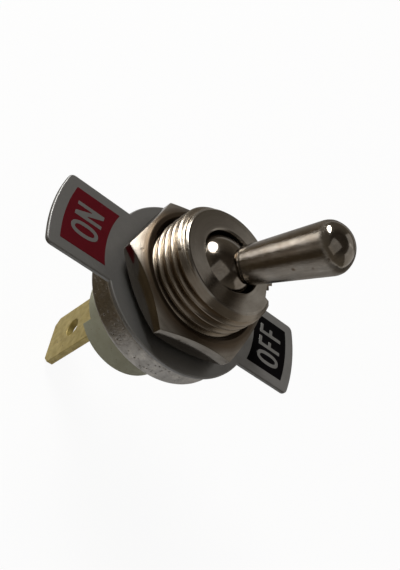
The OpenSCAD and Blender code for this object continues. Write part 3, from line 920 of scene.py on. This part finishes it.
def makeCoilRule():
    tree, given, result = makeRule("coilRule", {
        "Points": "Int", "Sides": "Int", "Steps Per Turn": "Float", "Open Turns": "Float", "Radius": "Float",
        "Wire Radius": "Float", "Closed Rise": "Float", "Open Rise": "Float", "Finish": "Material"})
    line = addNode(tree, "GeometryNodeMeshLine", {"Count": given["Points"]})
    path = addNode(tree, "GeometryNodeMeshToCurve", {0: line.outputs[0]})
    index = addNode(tree, "GeometryNodeInputIndex").outputs[0]
    turn = reckon(tree, "DIVIDE", index, given["Steps Per Turn"])
    angle = reckon(tree, "MULTIPLY", turn, 2 * math.pi)
    unit = joinAxes(tree, {0: reckon(tree, "COSINE", angle), 1: reckon(tree, "SINE", angle)})
    around = reckonVector(tree, "SCALE", {0: unit, "Scale": given["Radius"]})
    past = reckon(tree, "SUBTRACT", turn, 1.0)
    limits = {"Value": past, "Min": 0.0, "Max": given["Open Turns"]}
    opened = addNode(tree, "ShaderNodeClamp", limits).outputs[0]
    shut = reckon(tree, "SUBTRACT", turn, opened)
    low = reckon(tree, "MULTIPLY", shut, given["Closed Rise"])
    rise = reckon(tree, "MULTIPLY_ADD", opened, given["Open Rise"], low)
    place = reckonVector(tree, "ADD", {0: around, 1: joinAxes(tree, {2: rise})})
    laid = addNode(tree, "GeometryNodeSetPosition", {"Geometry": path.outputs[0], "Position": place})
    section = addNode(tree, "GeometryNodeCurvePrimitiveCircle",
                      {"Resolution": given["Sides"], "Radius": given["Wire Radius"]})
    wire = addNode(tree, "GeometryNodeCurveToMesh",
                   {"Curve": laid.outputs[0], "Profile Curve": section.outputs[0], "Fill Caps": True})
    endRule(tree, result, wire.outputs[0], given["Finish"])
    return tree


def plungerSpring():
    s = springSizes
    holder = addHolder("coilHolder", bpy.data.meshes.new("coilHolder"))
    values = {"Points": s["turns"] * s["stepsPerTurn"] + 1, "Sides": s["sides"],
              "Steps Per Turn": float(s["stepsPerTurn"]), "Open Turns": float(s["turns"] - s["endTurns"]),
              "Radius": s["radius"] * mm, "Wire Radius": s["wire"] / 2 * mm,
              "Closed Rise": s["closedRise"] * mm, "Open Rise": s["openRise"] * mm, "Finish": steel}
    mesh = followRule(holder, makeCoilRule(), values, "coilSpring")
    mesh.transform(Matrix.Scale(mm, 4) @ onLever(s["start"]) @ Matrix.Scale(1 / mm, 4))
    smoothMesh(mesh, s["sharpDeg"])
    piece = addPiece("coilSpring", mesh, steel, body="lever", node="lever_spring")
    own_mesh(piece)


plungerSpring()
print("spring made")


# Other inner pieces keep their solids and get their finishes

innerFinish = {"pivot_pin": steel, "plunger": brass, "contact_rocker": brass, "moving_contact": silver,
               "fixed_contact": silver, "earth_bracket": brass}
for name, material in innerFinish.items():
    nodes[name].data.materials.clear()
    nodes[name].data.materials.append(material)
print("inner pieces finished")


# Camera, light and floor

shot = {"eye": (-48.378, 33.902, 51.107), "forward": (0.62939, -0.44775, -0.63512),
        "up": (0.76352, 0.50835, 0.39826), "lens": 47.591, "sensor": 36, "nearest": 0.001}


def placeCamera():
    data = bpy.data.cameras.new("shotCamera")
    data.lens = shot["lens"]
    data.sensor_width = shot["sensor"]
    data.clip_start = shot["nearest"]
    camera = addHolder("shotCamera", data)
    back = -Vector(shot["forward"]).normalized()
    right = Vector(shot["up"]).cross(back).normalized()
    turn = Matrix((right, back.cross(right), back)).transposed().to_4x4()
    camera.matrix_world = Matrix.Translation(Vector(shot["eye"]) * mm) @ turn
    scene.camera = camera


lampSet = {     # metres and watts; toward is the way from the switch to the lamp
    "window": {"toward": (0.639, 0.527, 0.561), "distance": 0.42, "size": (0.27, 0.14), "power": 1.55,
               "tint": (1.0, 0.985, 0.95), "roll": 42.5, "shape": "ELLIPSE"},
    "overhead": {"toward": (-0.47, 0.2, 0.85), "distance": 0.45, "size": (0.36, 0.46), "power": 0.14,
                 "tint": (1.0, 0.98, 0.94)},
    "side": {"toward": (0.05, -0.9, 0.43), "distance": 0.45, "size": (0.36, 0.36), "power": 0.14,
             "tint": (1.0, 0.98, 0.95)},
    "right": {"toward": (0.515, -0.615, 0.59), "distance": 0.45, "size": (0.22, 0.24), "power": 0.055,
              "tint": (1.0, 0.985, 0.96)},
    "strip": {"toward": (0.294, 0.955, -0.03), "distance": 0.197, "size": (0.1, 0.028), "power": 0.034,
              "tint": (1.0, 0.98, 0.95)},
    "stripEnd": {"toward": (-0.4, 0.915, -0.03), "distance": 0.197, "size": (0.05, 0.028), "power": 0.0018,
                 "tint": (1.0, 0.93, 0.84)}}


def placeLamps():
    for name, lamp in lampSet.items():
        data = bpy.data.lights.new(name, "AREA")
        data.shape = lamp.get("shape", "RECTANGLE")
        data.size, data.size_y = lamp["size"]
        data.energy = lamp["power"]
        data.color = lamp["tint"]
        holder = addHolder(name, data)
        toward = Vector(lamp["toward"]).normalized()
        holder.location = toward * lamp["distance"]
        roll = Quaternion((0, 0, 1), math.radians(lamp.get("roll", 0)))     # 0 leaves the first side level
        holder.rotation_euler = (toward.to_track_quat("Z", "Y") @ roll).to_euler()


roomLook = {
    "ramp": ((0.05, colour(0.16, 0.14, 0.11)), (0.6, colour(0.12, 0.105, 0.085)),
             (0.85, colour(0.045, 0.038, 0.03)), (1.0, colour(0.06, 0.05, 0.04))),
    "white": colour(1, 1, 1), "mirrored": 0.3, "horizon": (0.04, 0.14)}
floorLook = {
    "room": colour(0.12, 0.092, 0.056), "paper": colour(0.95, 0.95, 0.95), "white": colour(1, 1, 1),
    "whiteShare": 0.94, "mirrored": 0.5, "radius": 1.6, "sides": 96, "below": 0.1, "under": 0.012,
    "darkSide": (-0.174, 0.985, 0.0), "around": ((0.0, 0.38), (0.4, 1.0), (0.63, 1.0), (0.74, 0.0)),
    "farEdge": (0.06, 0.11), "farShare": 0.33}


def seenAsBackground(tree, mask, mirrored):
    # the camera sees the white background everywhere, metal and glass see some of it where the mask is
    path = addNode(tree, "ShaderNodeLightPath").outputs
    bounced = reckon(tree, "ADD", path["Is Glossy Ray"], path["Is Transmission Ray"])
    masked = reckon(tree, "MULTIPLY", reckon(tree, "MULTIPLY", bounced, mirrored), mask)
    return reckon(tree, "ADD", path["Is Camera Ray"], masked, use_clamp=True)


def rampColour(tree, value, stops):
    ramp = addNode(tree, "ShaderNodeValToRGB", {0: value})
    elements = ramp.color_ramp.elements
    while len(elements) < len(stops):
        elements.new(1.0)
    for element, (at, tone) in zip(elements, stops):
        element.position, element.color = at, tone
    return ramp.outputs[0]


def lightRoom():
    world = bpy.data.worlds.new("studioRoom")
    world.use_nodes = True
    scene.world = world
    tree = world.node_tree
    height = splitAxes(tree, addNode(tree, "ShaderNodeTexCoord").outputs["Generated"])[2]
    room = rampColour(tree, height, roomLook["ramp"])
    near, far = roomLook["horizon"]
    rim = remap(tree, height, near, far, 1.0, 0.0, interpolation_type="SMOOTHSTEP")
    seen = seenAsBackground(tree, rim, roomLook["mirrored"])
    tree.links.new(mixColour(tree, seen, room, roomLook["white"]), tree.nodes["Background"].inputs["Color"])


def floorFinish():
    # pale paper to the camera; metal sees a dim room, with some of the white on the light side and close by,
    # a painted pool of light seen only in reflections
    f = floorLook
    material = bpy.data.materials.new("paleFloor")
    material.use_nodes = True
    tree = material.node_tree
    tree.nodes.remove(tree.nodes["Principled BSDF"])
    glossy = addNode(tree, "ShaderNodeLightPath").outputs["Is Glossy Ray"]
    matte = addNode(tree, "ShaderNodeBsdfDiffuse", {"Color": mixColour(tree, glossy, f["paper"], f["room"])})
    glow = addNode(tree, "ShaderNodeEmission", {"Color": f["white"], "Strength": 1.0})
    place = addNode(tree, "ShaderNodeTexCoord").outputs["Object"]
    aside = reckonVector(tree, "DOT_PRODUCT", {0: place, 1: f["darkSide"]}, "Value")
    reach = reckonVector(tree, "LENGTH", {0: place}, "Value")
    toward = reckon(tree, "DIVIDE", aside, reckon(tree, "ADD", reach, f["under"]))
    turned = reckon(tree, "MULTIPLY_ADD", toward, 0.5, 0.5)
    light = rampColour(tree, turned, [(at, colour(share, share, share)) for at, share in f["around"]])
    near, far = f["farEdge"]
    fade = remap(tree, reach, near, far, 1.0, f["farShare"], interpolation_type="SMOOTHSTEP")
    seen = seenAsBackground(tree, reckon(tree, "MULTIPLY", light, fade), f["mirrored"])
    share = reckon(tree, "MULTIPLY", seen, f["whiteShare"])
    both = addNode(tree, "ShaderNodeMixShader", {0: share, 1: matte.outputs[0], 2: glow.outputs[0]})
    tree.links.new(both.outputs[0], tree.nodes["Material Output"].inputs[0])
    return material


def layFloor():
    bm = bmesh.new()
    bmesh.ops.create_circle(bm, cap_ends=True, segments=floorLook["sides"], radius=floorLook["radius"])
    mesh = bpy.data.meshes.new("studioFloor")
    bm.to_mesh(mesh)
    bm.free()
    mesh.materials.append(floorFinish())
    floor = addHolder("studioFloor", mesh)
    floor.location.z = cadBox[0].z - floorLook["below"] * mm


placeCamera()
placeLamps()
lightRoom()
layFloor()
scene.view_settings.view_transform = "Standard"
print("camera, lamps and floor placed")
